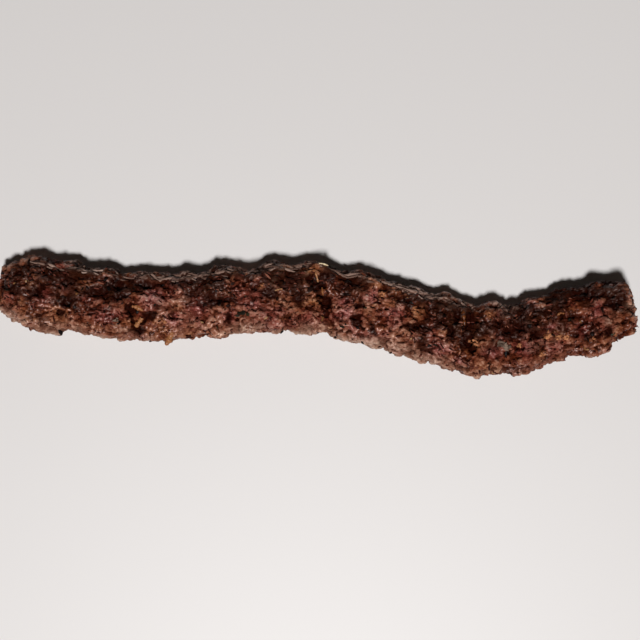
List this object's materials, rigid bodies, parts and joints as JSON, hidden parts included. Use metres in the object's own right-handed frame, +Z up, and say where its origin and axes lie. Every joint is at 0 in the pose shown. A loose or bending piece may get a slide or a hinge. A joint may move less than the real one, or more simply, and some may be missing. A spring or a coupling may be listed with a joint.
{
  "type": "kofta kebab",
  "caption": "Long flattened roll of char-grilled minced meat with finger-pressed ridges, splits and a crumbly crust, drawn off its skewer and lying flat to be served.",
  "frame": {"origin": "on the table, under the middle of the roll's bounding box", "axes": "+X along the roll towards the end that curls up, +Y across it towards the far side, +Z up from the table"},
  "size_m": [0.2996, 0.0548, 0.0195],
  "materials": {
    "grilled_mince": "char-grilled minced meat: rough, crumbly, charred brown to black on top, with an oily sheen"
  },
  "bodies": {
    "root": {"kofta": "grilled_mince"}
  },
  "joints": []
}
